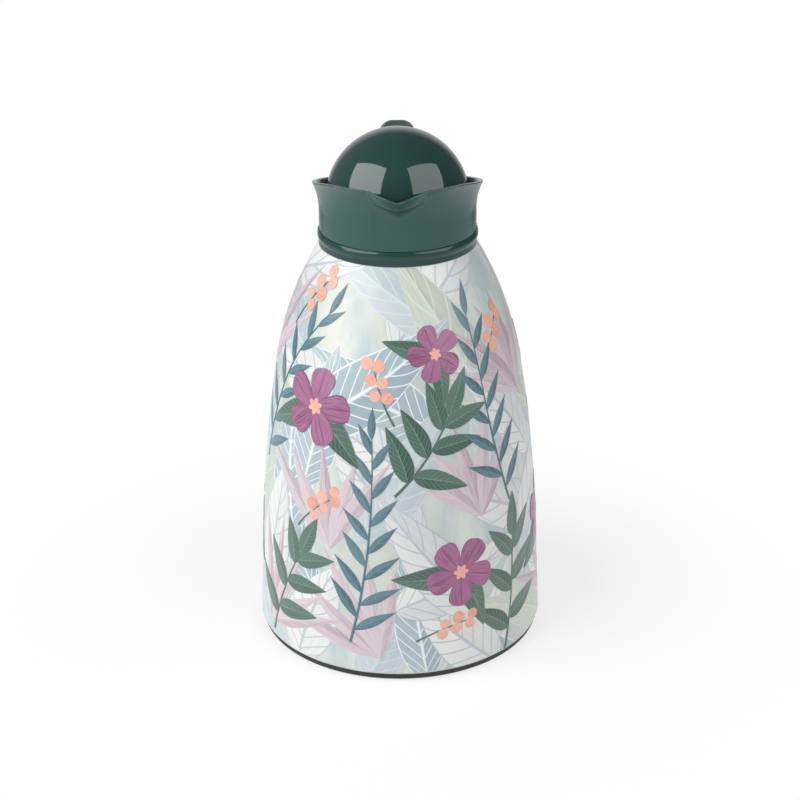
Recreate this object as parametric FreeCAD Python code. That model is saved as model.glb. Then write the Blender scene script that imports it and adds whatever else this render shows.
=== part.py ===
import FreeCAD, Part
import math
import os
from FreeCAD import Rotation, Vector

# Glass-lined vacuum jug with a hinged domed lid. Millimetres, +Z up, the pouring lip towards -Y and the
# handle towards +Y. The origin is on the jug's axis, on the plane that it stands on.

# Body shell: a tapered foot, a long belly arc and a tighter shoulder arc up to the neck ledge
shell_foot_radius = 71.8
shell_wall = 2.2
shell_taper_deg = 3.0
shell_taper_height = 57.0
shell_height = 201.2
shell_neck_slope_deg = 30.8
belly_reach = 40.3
neck_ledge_step = 0.4
neck_wall_radius = 33.0
neck_rise = 7.5
shell_edge_round = 0.8

# Base cap and the rubber ring under it
base_band = 4.1
base_inset = 1.5
base_floor = 2.2
base_screw_height = 11.0
base_rim_width = 13.0
base_edge_round = 0.8
base_rib_count = 6
base_rib_width = 2.4
base_rib_inner_radius = 14.0
foot_stand = 0.8
foot_groove_depth = 1.4
foot_ring_width = 6.0
cushion_radius = 26.0
cushion_height = 9.0
cushion_hole_radius = 9.0
cushion_rise = 4.0
pedestal_wall = 2.2
pedestal_height = 7.0

# Glass flask: two glass walls with a vacuum between them, joined at the mouth
glass = 1.6
vacuum_gap = 4.5
neck_vacuum_gap = 1.4
flask_gap = 3.4
flask_shoulder_drop = 77.0
flask_shoulder_radius = 52.0
flask_corner_radius = 36.0
flask_neck_fillet = 8.0
flask_mouth_radius = 18.4
flask_lip_height = 2.5
seal_tip_radius = 4.5
seal_tip_length = 5.5

# Neck ring between shell and collar
ring_height = 7.0
ring_bead = 0.55
ring_band_height = 2.6
ring_edge_round = 0.4
tongue_width = 12.0
tongue_length = 18.0
tongue_height = 4.0

# Pouring collar: threaded skirt, straight wall that flares, bowl and throat
collar_wall = 2.2
collar_straight = 9.8
flare_radius = 33.0
skirt_wall = 2.0
skirt_drop = 6.0
throat_radius = 18.0
throat_height = 3.0
throat_drop = 1.4
bowl_slope_deg = 20.0
bowl_corner_radius = 4.0
seal_cup_wall = 2.0
seal_cup_drop = 5.0
neck_seal_width = 3.0
neck_seal_drop = 9.0
neck_seal_rise = 1.8

# Rim of the collar: tilted up to the front, level there, and dipping in one sweep to the beak
rim_side_rise = 22.7
rim_tilt_deg = 13.5
rim_front_rise = 30.4
rim_blend_radius = 30.0
lip_rise = 25.9
lip_round = 3.0
lip_shoulder_radius = 46.0
beak_reach = 5.0
beak_spread_deg = 19.0
beak_root_spread_deg = 8.0
beak_nose_share = 0.17
beak_sections = 6

# Lid: ball-shaped dome, its base plate and the stopper
dome_radius = 33.9
dome_wall = 2.4
dome_drop = 5.9
lid_gap = 1.1
lid_floor_gap = 1.02
lid_flange = 1.5
lid_flange_inset = 0.3
lid_spigot = 2.4
lid_boss_radius = 6.0
lid_boss_height = 9.0
foam_gap = 3.4
stopper_flange_radius = 21.0
stopper_flange = 2.6
stopper_groove_radius = 16.8
stopper_cone_radius = 16.2
stopper_tip_radius = 10.5
stopper_depth = 11.6
stopper_wall = 1.8
stopper_seal_radius = 23.2
stopper_seal_edge = 1.0

# Hinge, thumb lever and closing spring
pin_radius = 1.5
pin_rise = 17.3
pin_stand_off = 5.4
pin_overhang = 0.7
knuckle_radius = 4.2
lever_width = 19.6
saddle_thickness = 3.2
saddle_width = 18.0
saddle_top_rise = 31.0
saddle_corner_radius = 6.0
saddle_edge_round = 1.2
thumb_width = 17.6
thumb_height = 20.9
thumb_thickness = 4.0
thumb_lean_deg = 12.0
thumb_corner_radius = 6.5
thumb_edge_round = 1.5
thumb_dish_radius = 26.0
thumb_dish_depth = 1.2
ear_thickness = 3.5
ear_radius = 4.6
ear_root_rise = 4.6
spring_wire = 0.9
spring_turns = 5
spring_slot = 10.8
spring_rest_lean_deg = 35.0
spring_rest_leg = 13.4
spring_push_leg = 10.0

# Handle: two halves along one path, wider at the root than at the foot
handle_width = 22.0
handle_outer_depth = 7.5
handle_inner_depth = 5.5
handle_edge = 1.6
handle_foot_share = 0.8
handle_reach = 97.0
handle_lift = 6.0
handle_elbow_y = 90.5
handle_elbow_z = 116.0
handle_foot_z = 84.0
handle_top_bend = 24.0
handle_low_bend = 60.0

# Screws
screw_shank_radius = 1.5
screw_head_radius = 2.8
screw_head_height = 1.8
screw_slot_width = 0.8
screw_slot_depth = 0.9
screw_grip = 6.0
screw_seat = 0.9
screw_bite = 0.7
grip_screw_shares = (0.2, 0.85)

# Clearances
fit = 0.2
seat_gap = 0.35
running_gap = 0.05
side_gap = 0.35
cover_gap = 0.8
through = 200.0

# Heights and radii that follow from the sizes above
collar_foot_radius = dome_radius + lid_gap + collar_wall
neck_ledge_radius = collar_foot_radius + neck_ledge_step
ledge_z = shell_height
collar_z = ledge_z + ring_height + fit
flare_z = collar_z + collar_straight
throat_z = collar_z - throat_drop
throat_foot_z = throat_z - throat_height
mouth_z = throat_foot_z - neck_seal_rise
flask_shoulder_z = mouth_z - flask_shoulder_drop
bowl_radius = collar_foot_radius - collar_wall
bowl_corner_z = throat_z + (bowl_radius - throat_radius) * math.tan(math.radians(bowl_slope_deg))
dome_edge_z = bowl_corner_z + lid_floor_gap + lid_flange
dome_z = dome_edge_z + dome_drop
lip_z = collar_z + lip_rise
pin_z = collar_z + pin_rise
rim_side_z = collar_z + rim_side_rise
rim_front_z = collar_z + rim_front_rise
skirt_radius = neck_wall_radius + fit + skirt_wall
ring_bore = skirt_radius + fit
flask_neck_radius = flask_mouth_radius + glass + neck_vacuum_gap + glass
base_radius = shell_foot_radius - base_inset
floor_z = base_band + base_floor
flask_bottom_z = floor_z + cushion_height

ORIGIN = Vector(0, 0, 0)
X = Vector(1, 0, 0)
Y = Vector(0, 1, 0)
Z = Vector(0, 0, 1)
TINY = 1e-6


def at(radius, height):
    """A point of a turned outline: its distance from the axis and its height."""
    return Vector(radius, 0, height)


def side(y, z):
    """A point of an outline seen from the side."""
    return Vector(0, y, z)


def tan(degrees):
    return math.tan(math.radians(degrees))


def heading(degrees):
    """Direction that climbs an outline while leaning towards the axis."""
    return at(-math.sin(math.radians(degrees)), math.cos(math.radians(degrees)))


def halfway(start, leaving, end):
    """Middle of the arc that leaves start along a direction and stops at end."""
    chord = end - start
    along = Vector(chord).normalize()
    bulge = leaving - along * leaving.dot(along)
    if bulge.Length < TINY:
        return (start + end) * 0.5
    turn = leaving.getAngle(chord)
    return (start + end) * 0.5 + bulge.normalize() * (chord.Length * 0.5 * math.tan(turn * 0.5))


def biarc_join(start, leaving, end, arriving, reach):
    """Where two tangent arcs between two directed points meet, and the direction there."""
    gap = end - start
    other = gap.dot(gap) * 0.5 - reach * gap.dot(leaving)
    other = other / (gap.dot(arriving) - reach * (leaving.dot(arriving) - 1))
    near = start + leaving * reach
    far = end - arriving * other
    join = (near * other + far * reach) * (1 / (reach + other))
    return join, (far - near).normalize()


def edges_of(moves):
    """Edges through the moves: a point is a straight run to it, a pair is an arc through one to the other."""
    here = moves[0]
    edges = []
    for move in moves[1:]:
        if isinstance(move, tuple):
            edges.append(Part.Arc(here, move[0], move[1]).toShape())
            here = move[1]
        elif here.distanceToPoint(move) > TINY:
            edges.append(Part.makeLine(here, move))
            here = move
    return edges


def face_of(moves):
    return Part.Face(Part.Wire(edges_of(moves + [moves[0]])))


def turned(moves):
    """Solid of revolution about the jug's axis."""
    return face_of(moves).revolve(ORIGIN, Z, 360)


def tube(outer, inner, low, high):
    return turned([at(inner, low), at(outer, low), at(outer, high), at(inner, high)])


def slab(moves, direction, width):
    """Outline pushed out to both sides by half the width."""
    face = face_of(moves)
    face.translate(direction * (-width / 2))
    return face.extrude(direction * width)


def ball(radius, centre):
    return Part.makeSphere(radius, centre, Z, -90, 90, 360)


def rod(radius, start, end):
    along = end - start
    return Part.makeCylinder(radius, along.Length, start, along)


def to_back(shape):
    """Turns a shape that was drawn along +X so that it lies along +Y."""
    return shape.copy().rotate(ORIGIN, Z, 90)


def rounded(solid, radius, wanted):
    """Fillets the edges that the test picks out."""
    return solid.makeFillet(radius, [edge for edge in solid.Edges if wanted(edge)])


def level_edge(radius, height):
    """Test for a full circle of a given radius and height."""
    def is_it(edge):
        curve = edge.Curve
        if not isinstance(curve, Part.Circle):
            return False
        return abs(curve.Radius - radius) < 0.01 and abs(curve.Center.z - height) < 0.01
    return is_it


# Body shell

def shell_corners(inset):
    """Corners of the shell's side from foot to neck, set in from the outside, each with its direction."""
    foot_way = heading(shell_taper_deg)
    neck_way = heading(shell_neck_slope_deg)
    foot = at(shell_foot_radius, base_band)
    taper_top = foot + foot_way * (shell_taper_height / foot_way.z)
    neck = at(neck_ledge_radius, ledge_z)
    join, join_way = biarc_join(taper_top, foot_way, neck, neck_way, belly_reach)
    ways = [foot_way, foot_way, join_way, neck_way]
    corners = [foot, taper_top, join, neck]
    return [(corner + at(-way.z, way.x) * inset, way) for corner, way in zip(corners, ways)]


def shell_side(inset):
    """The shell's side as moves: a straight taper and two tangent arcs."""
    (foot, _), (low, low_way), (join, join_way), (neck, _) = shell_corners(inset)
    return [foot, low, (halfway(low, low_way, join), join), (halfway(join, join_way, neck), neck)]


def shell_mass(inset):
    """Solid body of the shell's outline, set in from the outside."""
    side_moves = shell_side(inset)
    return turned([at(0, side_moves[0].z)] + side_moves + [at(0, side_moves[-1][1].z)])


def shell_radius(height):
    """Outer radius of the shell at a height."""
    level = Part.makeLine(at(TINY, height), at(2 * shell_foot_radius, height))
    side_wire = Part.Wire(edges_of(shell_side(0)))
    return side_wire.distToShape(level)[1][0][0].x


def body_shell():
    hollow = shell_mass(shell_wall)
    mouth = Part.makeCylinder(shell_foot_radius - shell_wall, base_band, ORIGIN)
    shell = shell_mass(0).cut(hollow).cut(mouth)
    neck_bore = neck_wall_radius - shell_wall
    shell = shell.cut(Part.makeCylinder(neck_bore, through, at(0, ledge_z / 2)))
    neck = tube(neck_wall_radius, neck_bore, ledge_z - shell_wall, ledge_z + neck_rise)
    shell = shell.fuse(neck).removeSplitter()
    shell = rounded(shell, shell_edge_round, level_edge(shell_foot_radius, base_band))
    return shell.cut(foot_screw_hole())


# Base

def foot_groove():
    outer = base_radius - (base_rim_width - foot_ring_width) / 2
    return outer, outer - foot_ring_width


def base_cap():
    screw_top_z = floor_z + base_screw_height
    screw_radius = shell_radius(screw_top_z) - shell_wall - fit
    rim_inner = base_radius - base_rim_width
    bore = screw_radius - base_floor
    cap = turned([
        at(0, base_band), at(rim_inner, base_band), at(rim_inner, foot_stand), at(base_radius, foot_stand),
        at(base_radius, base_band), at(screw_radius, base_band), at(screw_radius, screw_top_z),
        at(bore, screw_top_z), at(bore, floor_z), at(0, floor_z),
    ])
    cap = rounded(cap, base_edge_round, level_edge(base_radius, foot_stand))
    outer, inner = foot_groove()
    cap = cap.cut(tube(outer, inner, 0, foot_stand + foot_groove_depth))
    pedestal_inner = cushion_radius + fit
    cap = cap.fuse(tube(pedestal_inner + pedestal_wall, pedestal_inner, base_band, floor_z + pedestal_height))
    for number in range(base_rib_count):
        length = rim_inner - base_rib_inner_radius
        rib = Part.makeBox(length, base_rib_width, base_band - foot_stand)
        rib.translate(Vector(base_rib_inner_radius, -base_rib_width / 2, foot_stand))
        rib.rotate(ORIGIN, Z, 360 * number / base_rib_count)
        cap = cap.fuse(rib)
    return cap.removeSplitter()


def foot_ring():
    outer, inner = foot_groove()
    ring = tube(outer, inner, 0, foot_stand + foot_groove_depth)
    return rounded(ring, foot_stand / 2, lambda edge: edge.BoundBox.ZMax < TINY)


def liner_cushion():
    cup = tube(cushion_radius, cushion_hole_radius, floor_z, flask_bottom_z + cushion_rise)
    return cup.cut(flask_solid(0, flask_neck_radius))


# Glass flask

def flask_radius():
    return shell_radius(flask_shoulder_z) - shell_wall - flask_gap


def flask_moves(radius, bottom, neck, inset):
    """Outline of one glass face from the bottom's middle up to the mouth, set in from the flask's outside."""
    corner = flask_corner_radius - inset
    shoulder = flask_shoulder_radius - inset
    fillet = flask_neck_fillet + inset
    shoulder_centre = at(radius - shoulder, flask_shoulder_z)
    across = neck + fillet - shoulder_centre.x
    rise = math.sqrt((shoulder + fillet) ** 2 - across ** 2)
    fillet_centre = shoulder_centre + at(across, rise)
    meet = shoulder_centre + (fillet_centre - shoulder_centre) * (shoulder / (shoulder + fillet))
    wall_foot = at(radius, bottom + corner)
    flat_end = at(radius - corner, bottom)
    shoulder_foot = at(radius, flask_shoulder_z)
    neck_foot = at(neck, fillet_centre.z)
    return [
        at(0, bottom), flat_end, (halfway(flat_end, X, wall_foot), wall_foot), shoulder_foot,
        (halfway(shoulder_foot, Z, meet), meet),
        (halfway(neck_foot, Z * -1, meet), neck_foot), at(neck, mouth_z),
    ]


def flask_solid(inset, neck):
    moves = flask_moves(flask_radius() - inset, flask_bottom_z + inset, neck, inset)
    return turned(moves + [at(0, mouth_z)])


def outer_flask():
    flask = flask_solid(0, flask_neck_radius)
    tip = Part.makeCone(seal_tip_radius, seal_tip_radius / 2, seal_tip_length, at(0, flask_bottom_z), Z * -1)
    tip = rounded(tip, seal_tip_radius / 4, level_edge(seal_tip_radius / 2, flask_bottom_z - seal_tip_length))
    flask = flask.fuse(tip).cut(flask_solid(glass, flask_neck_radius - glass))
    lip_z_low = mouth_z - flask_lip_height
    return flask.cut(Part.makeCylinder(flask_neck_radius + 1, flask_lip_height, at(0, lip_z_low)))


def inner_flask():
    inset = glass + vacuum_gap
    flask = flask_solid(inset, flask_mouth_radius + glass)
    lip = Part.makeCylinder(flask_neck_radius, flask_lip_height, at(0, mouth_z - flask_lip_height))
    flask = flask.fuse(lip).cut(flask_solid(inset + glass, flask_mouth_radius))
    return rounded(flask.removeSplitter(), flask_lip_height / 3, level_edge(flask_neck_radius, mouth_z))


def neck_seal():
    inner = flask_neck_radius + fit
    outer = inner + neck_seal_width
    return turned([
        at(throat_radius, mouth_z), at(inner, mouth_z), at(inner, mouth_z - neck_seal_drop),
        at(outer, mouth_z - neck_seal_drop), at(outer, throat_foot_z), at(throat_radius, throat_foot_z),
    ])


# Neck ring

def neck_ring():
    band_top = at(neck_ledge_radius, ledge_z + ring_band_height)
    bead_top = at(neck_ledge_radius, ledge_z + ring_height)
    bead = at(neck_ledge_radius + ring_bead, (band_top.z + bead_top.z) / 2)
    ring = turned([at(ring_bore, ledge_z), at(neck_ledge_radius, ledge_z), band_top, (bead, bead_top),
                   at(ring_bore, bead_top.z)])
    ring = rounded(ring, ring_edge_round, level_edge(neck_ledge_radius, bead_top.z))
    return ring.fuse(tongue(0)).cut(root_screw_hole()).removeSplitter()


def tongue(gap):
    """Flat tongue behind the ring, grown by a gap all round."""
    width = tongue_width + 2 * gap
    height = tongue_height + 2 * gap
    block = Part.makeBox(width, tongue_length + gap, height)
    start = (ring_bore + neck_ledge_radius) / 2
    return block.translate(Vector(-width / 2, start, handle_root_z() - height / 2))


# Pouring collar

def collar_radius(height):
    """Outer radius of the collar's flared wall at a height."""
    return collar_foot_radius + flare_radius - math.sqrt(flare_radius ** 2 - max(height - flare_z, 0) ** 2)


def mirrored(point):
    return Vector(-point.x, point.y, point.z)


def collar_section(height, inset):
    """Level section of the flared wall: a round that two pairs of arcs draw out to the beak's nose."""
    share = (height - flare_z) / (lip_z - flare_z)
    radius = collar_radius(height) - inset
    spread = math.radians(beak_root_spread_deg + (beak_spread_deg - beak_root_spread_deg) * share)
    nose = Vector(0, -radius - beak_reach * share ** 2, height)
    end = Vector(radius * math.sin(spread), -radius * math.cos(spread), height)
    arriving = Vector(math.cos(spread), math.sin(spread), 0)
    join, way = biarc_join(nose, X, end, arriving, beak_nose_share * nose.distanceToPoint(end))
    tight = halfway(nose, X, join)
    hollow = halfway(join, way, end)
    return Part.Wire(edges_of([
        nose, (tight, join), (hollow, end), (Vector(0, radius, height), mirrored(end)),
        (mirrored(hollow), mirrored(join)), (mirrored(tight), nose),
    ]))


def flared_mass(inset):
    """Solid inside the flared wall's outer face, or inside its inner face when set in by the wall."""
    rise = (rim_front_z + collar_wall - flare_z) / (beak_sections - 1)
    heights = [flare_z + rise * number for number in range(beak_sections)]
    return Part.makeLoft([collar_section(height, inset) for height in heights], True)


def collar_bowl():
    """Space inside the collar below the flare: throat, sloping bowl, rounded corner and straight wall."""
    low = throat_foot_z - throat_height
    setback = bowl_corner_radius * tan((90 - bowl_slope_deg) / 2)
    slope = at(math.cos(math.radians(bowl_slope_deg)), math.sin(math.radians(bowl_slope_deg)))
    corner_foot = at(bowl_radius, bowl_corner_z) - slope * setback
    corner_top = at(bowl_radius, bowl_corner_z + setback)
    return turned([
        at(0, low), at(throat_radius, low), at(throat_radius, throat_z), corner_foot,
        (halfway(corner_foot, slope, corner_top), corner_top), at(bowl_radius, flare_z), at(0, flare_z),
    ])


def collar_foot():
    """Skirt, seal cup, bowl floor and straight wall up to the flare, before they are hollowed."""
    seal_outer = flask_neck_radius + 2 * fit + neck_seal_width
    cup_outer = seal_outer + seal_cup_wall
    over_neck = ledge_z + neck_rise + fit
    return turned([
        at(0, throat_foot_z), at(seal_outer, throat_foot_z), at(seal_outer, throat_foot_z - seal_cup_drop),
        at(cup_outer, throat_foot_z - seal_cup_drop), at(cup_outer, throat_foot_z),
        at(neck_wall_radius - shell_wall - fit, over_neck), at(skirt_radius - skirt_wall, over_neck),
        at(skirt_radius - skirt_wall, collar_z - skirt_drop), at(skirt_radius, collar_z - skirt_drop),
        at(skirt_radius, collar_z), at(collar_foot_radius, collar_z), at(collar_foot_radius, flare_z),
        at(0, flare_z),
    ])


def collar_ring():
    """Flared wall with the beak, cut to the rim."""
    return flared_mass(0).cut(flared_mass(collar_wall)).cut(above_rim())


def above_rim():
    """Space above the tilted rim and in the dip over the beak."""
    far = 2 * collar_foot_radius
    high = rim_front_z + far
    bend_y = -(rim_front_z - rim_side_z) / tan(rim_tilt_deg)
    setback = rim_blend_radius * tan(rim_tilt_deg / 2)
    level_end = side(bend_y - setback, rim_front_z)
    slope = side(math.cos(math.radians(rim_tilt_deg)), -math.sin(math.radians(rim_tilt_deg)))
    slope_start = side(bend_y, rim_front_z) + slope * setback
    over = slab([
        side(-far, rim_front_z), level_end, (halfway(level_end, Y, slope_start), slope_start),
        side(far, rim_side_z - far * tan(rim_tilt_deg)), side(far, high), side(-far, high),
    ], X, 2 * far)
    return over.fuse(lip_dip(far, high))


def lip_dip(far, high):
    """Open dip over the beak: a round bottom between two long shoulders that ease into the level rim."""
    drop = rim_front_z - lip_z
    both = lip_round + lip_shoulder_radius
    reach = math.sqrt(2 * both * drop - drop ** 2)
    share = lip_round / both
    meet = at(reach * share, lip_z + lip_round - (both - drop) * share)
    shoulder = at(reach, rim_front_z)
    ease = halfway(shoulder, X * -1, meet)
    dip = face_of([
        mirrored(shoulder), (mirrored(ease), mirrored(meet)), (at(0, lip_z), meet), (ease, shoulder),
        at(reach, high), at(-reach, high),
    ])
    return dip.extrude(Y * -far)


def pin_centre():
    return side(collar_radius(pin_z) + pin_stand_off, pin_z)


def round_pin(radius, turn_deg):
    """Point on a circle about the hinge pin, counted from the back upwards."""
    return pin_centre() + side(math.cos(math.radians(turn_deg)), math.sin(math.radians(turn_deg))) * radius


def touch_deg(point, radius, sense):
    """Where a straight line from a point touches a circle about the hinge pin, on one of its two sides."""
    away = point - pin_centre()
    lean = math.degrees(math.atan2(away.z, away.y))
    return lean + sense * math.degrees(math.acos(radius / away.Length))


def ear(sign):
    """Hinge ear on the collar's back, round about the pin, with straight flanks that run down to the wall."""
    root_y = bowl_radius - ear_thickness
    low = side(root_y, collar_z + ear_root_rise)
    high = side(root_y, flare_z)
    start_deg = touch_deg(low, ear_radius, 1)
    sweep_deg = (touch_deg(high, ear_radius, -1) - start_deg) % 360
    profile = face_of([
        high, low, round_pin(ear_radius, start_deg),
        (round_pin(ear_radius, start_deg + sweep_deg / 2), round_pin(ear_radius, start_deg + sweep_deg)),
    ])
    inner_x = lever_width / 2 + side_gap
    start = inner_x if sign > 0 else -inner_x - ear_thickness
    profile.translate(X * start)
    return profile.extrude(X * ear_thickness)


def pour_collar():
    foot = collar_foot().fuse([ear(1), ear(-1)]).cut([collar_bowl(), flared_mass(collar_wall)])
    collar = foot.fuse(collar_ring())
    pin = pin_centre()
    return collar.cut(rod(pin_radius, pin - X * through, pin + X * through)).removeSplitter()


# Lid

def dome_centre():
    return at(0, dome_z)


def dome_inner_radius():
    """Inner radius of the dome at its lower edge."""
    return math.sqrt((dome_radius - dome_wall) ** 2 - dome_drop ** 2)


def below(height):
    return Part.makeCylinder(2 * dome_radius, through, at(0, height - through))


def lid_dome():
    dome = ball(dome_radius, dome_centre()).cut(ball(dome_radius - dome_wall, dome_centre()))
    dome = dome.cut(below(dome_edge_z))
    return dome.cut(lever_screw_holes())


def lid_base():
    """Plate under the dome, with a flange against its edge, a locating spigot and the screw boss."""
    flange_radius = math.sqrt(dome_radius ** 2 - dome_drop ** 2) - lid_flange_inset
    spigot_radius = dome_inner_radius() - fit
    spigot_z = dome_edge_z + lid_spigot
    plate = turned([
        at(0, stopper_top_z()), at(flange_radius, stopper_top_z()), at(flange_radius, dome_edge_z),
        at(spigot_radius, dome_edge_z), at(spigot_radius, spigot_z), at(spigot_radius - dome_wall, spigot_z),
        at(spigot_radius - dome_wall, dome_edge_z), at(lid_boss_radius, dome_edge_z),
        at(lid_boss_radius, dome_edge_z + lid_boss_height), at(0, dome_edge_z + lid_boss_height),
    ])
    return plate.cut(stopper_screw_hole())


def lid_foam():
    foam = ball(dome_radius - dome_wall - foam_gap, dome_centre()).cut(below(dome_edge_z + lid_spigot))
    boss_room = Part.makeCylinder(lid_boss_radius + fit, lid_boss_height + fit, at(0, dome_edge_z))
    return foam.cut(boss_room)


def stopper_top_z():
    return dome_edge_z - lid_flange


def stopper_tip_z():
    return throat_z - stopper_depth


def stopper_moves(inset):
    """Outline of the plug's cone and flange, set in from the outside."""
    flange_z = stopper_top_z() - stopper_flange
    return [
        at(0, stopper_tip_z() + inset), at(stopper_tip_radius - inset, stopper_tip_z() + inset),
        at(stopper_cone_radius - inset, throat_z), at(stopper_groove_radius - inset, throat_z + seat_gap),
        at(stopper_groove_radius - inset, flange_z),
    ]


def stopper():
    flange_z = stopper_top_z() - stopper_flange
    plug = turned(stopper_moves(0) + [
        at(stopper_flange_radius, flange_z), at(stopper_flange_radius, stopper_top_z()),
        at(0, stopper_top_z()),
    ])
    return plug.cut(stopper_hollow(0)).cut(stopper_screw_hole())


def stopper_hollow(gap):
    """Space inside the plug round its screw boss, shrunk by a gap."""
    cone = turned(stopper_moves(stopper_wall + gap) + [
        at(stopper_groove_radius - stopper_wall - gap, stopper_top_z()), at(0, stopper_top_z()),
    ])
    return cone.cut(Part.makeCylinder(lid_boss_radius + gap, through, at(0, stopper_tip_z())))


def stopper_foam():
    return stopper_hollow(fit)


def stopper_seal():
    """Silicone ring under the plug's flange, lying just over the bowl."""
    flange_z = stopper_top_z() - stopper_flange
    seat_z = throat_z + seat_gap
    edge_z = seat_z + (stopper_seal_radius - throat_radius) * tan(bowl_slope_deg)
    return turned([
        at(stopper_groove_radius, seat_z), at(throat_radius, seat_z), at(stopper_seal_radius, edge_z),
        at(stopper_seal_radius, edge_z + stopper_seal_edge), at(stopper_flange_radius, flange_z),
        at(stopper_groove_radius, flange_z),
    ])


# Thumb lever, pin and spring

def tab(width, low, high, corner):
    """Upright face across the jug with two rounded top corners."""
    wide = width / 2
    cut = corner * (1 - math.sqrt(0.5))
    top_right = at(wide - corner, high)
    middle = at(wide - cut, high - cut)
    side_right = at(wide, high - corner)
    return face_of([
        at(-wide, low), at(wide, low), side_right, (middle, top_right),
        mirrored(top_right), (mirrored(middle), mirrored(side_right)),
    ])


def saddle():
    """Spine that hugs the back of the dome, with its outer edges rounded."""
    shell = ball(dome_radius + saddle_thickness, dome_centre()).cut(ball(dome_radius, dome_centre()))
    outline = tab(saddle_width, saddle_low_z(), collar_z + saddle_top_rise, saddle_corner_radius)
    spine = shell.common(outline.extrude(Y * (2 * dome_radius)))
    return rounded(spine, saddle_edge_round, round_dome(dome_radius + saddle_thickness))


def round_dome(radius):
    """Test for an edge whose ends lie on a ball about the dome's centre."""
    def is_it(edge):
        reaches = [vertex.Point.distanceToPoint(dome_centre()) for vertex in edge.Vertexes]
        return max(abs(reach - radius) for reach in reaches) < 0.01
    return is_it


def saddle_low_z():
    return rim_side_z - bowl_radius * tan(rim_tilt_deg) + cover_gap


def lever_arm():
    """Block from the dome's back to the hinge knuckles, round about the pin."""
    pin = pin_centre()
    front = dome_radius - dome_wall
    arm = slab([
        side(front, saddle_low_z()), side(pin.y, pin.z - knuckle_radius),
        (side(pin.y + knuckle_radius, pin.z), side(pin.y, pin.z + knuckle_radius)),
        side(front, pin.z + knuckle_radius),
    ], X, lever_width)
    return arm.cut(ball(dome_radius, dome_centre()))


def thumb_piece():
    """Leaning plate with rounded edges and a dish for the thumb on the lid's side."""
    half = thumb_thickness / 2
    outline = tab(thumb_width, 0, thumb_height, thumb_corner_radius)
    outline.translate(Y * -half)
    plate = outline.extrude(Y * thumb_thickness)
    plate = rounded(plate, thumb_edge_round, lambda edge: edge.BoundBox.ZMax > TINY
                    and edge.BoundBox.YLength < TINY)
    dish_y = thumb_dish_depth - half - thumb_dish_radius
    plate = plate.cut(ball(thumb_dish_radius, Vector(0, dish_y, thumb_height - thumb_corner_radius)))
    plate.rotate(ORIGIN, X, -thumb_lean_deg)
    return plate.translate(pin_centre())


def thumb_lever():
    pin = pin_centre()
    lever = saddle().fuse([lever_arm(), thumb_piece()])
    slot = rod(knuckle_radius + fit, pin - X * (spring_slot / 2), pin + X * (spring_slot / 2))
    lever = lever.cut(slot).cut(rod(pin_radius + running_gap, pin - X * through, pin + X * through))
    return lever.cut(lever_screw_holes()).removeSplitter()


def hinge_pin():
    reach = lever_width / 2 + side_gap + ear_thickness + pin_overhang
    pin = rod(pin_radius, pin_centre() - X * reach, pin_centre() + X * reach)
    ends = [edge for edge in pin.Edges if isinstance(edge.Curve, Part.Circle)]
    return pin.makeChamfer(pin_overhang / 2, ends)


def coil_radius():
    """Radius at which the coil's straight end lies along the back of the thumb piece."""
    return thumb_thickness / 2 + running_gap * 2 + spring_wire / 2


def coil_point(turn_deg, start_deg, pitch):
    """Point and direction on the coil about the pin."""
    angle = math.radians(turn_deg)
    radius = coil_radius()
    along = ((turn_deg - start_deg) / 360 - spring_turns / 2) * pitch
    place = round_pin(radius, turn_deg) + X * along
    way = Vector(pitch / (2 * math.pi), -radius * math.sin(angle), radius * math.cos(angle))
    return place, way.normalize()


def even_reach(start, leaving, end, arriving):
    """Reach that makes the two arcs of a biarc alike."""
    gap = end - start
    both = gap.dot(leaving + arriving)
    bend = 1 - leaving.dot(arriving)
    return (math.sqrt(both ** 2 + 2 * bend * gap.dot(gap)) - both) / (2 * bend)


def spring_path():
    """Straight rest leg, coil in quarter turns and straight push leg."""
    first = -spring_rest_lean_deg
    last = 360 * spring_turns - thumb_lean_deg
    pitch = (spring_slot - 2 * spring_wire - 2 * fit) / spring_turns
    steps = 4 * spring_turns
    stations = [first + (last - first) * step / steps for step in range(steps + 1)]
    points = [coil_point(turn, first, pitch) for turn in stations]
    moves = [points[0][0] - points[0][1] * spring_rest_leg, points[0][0]]
    for (start, leaving), (end, arriving) in zip(points, points[1:]):
        join, way = biarc_join(start, leaving, end, arriving, even_reach(start, leaving, end, arriving))
        moves += [(halfway(start, leaving, join), join), (halfway(join, way, end), end)]
    return moves + [points[-1][0] + points[-1][1] * spring_push_leg]


def least_gap(wire_path):
    """Least clear distance between stretches of the spring that are at least half a turn apart."""
    points = wire_path.discretize(Distance=spring_wire / 2)
    skip = int(math.pi * coil_radius() / (spring_wire / 2))
    apart = [a.distanceToPoint(b) for i, a in enumerate(points) for b in points[i + skip:]]
    return min(apart) - spring_wire


def hinge_spring():
    moves = spring_path()
    path = Part.Wire(edges_of(moves))
    ring = Part.Circle(moves[0], moves[1] - moves[0], spring_wire / 2)
    pipe = Part.BRepOffsetAPI.MakePipeShell(path)
    pipe.add(Part.Wire(ring.toShape()))
    pipe.build()
    pipe.makeSolid()
    print("hinge_spring least gap to itself: %.2f mm" % least_gap(path))
    return pipe.shape()


# Handle

def handle_root_z():
    return ledge_z + ring_height / 2


def handle_corners():
    """Corners of the handle's path from the ring to just inside the shell, drawn along +X."""
    foot = at(shell_radius(handle_foot_z), handle_foot_z)
    elbow = at(handle_elbow_y, handle_elbow_z)
    inside = foot + (foot - elbow).normalize() * handle_width
    root = at(neck_ledge_radius, handle_root_z())
    return [root, at(handle_reach, handle_root_z() + handle_lift), elbow, inside]


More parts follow.
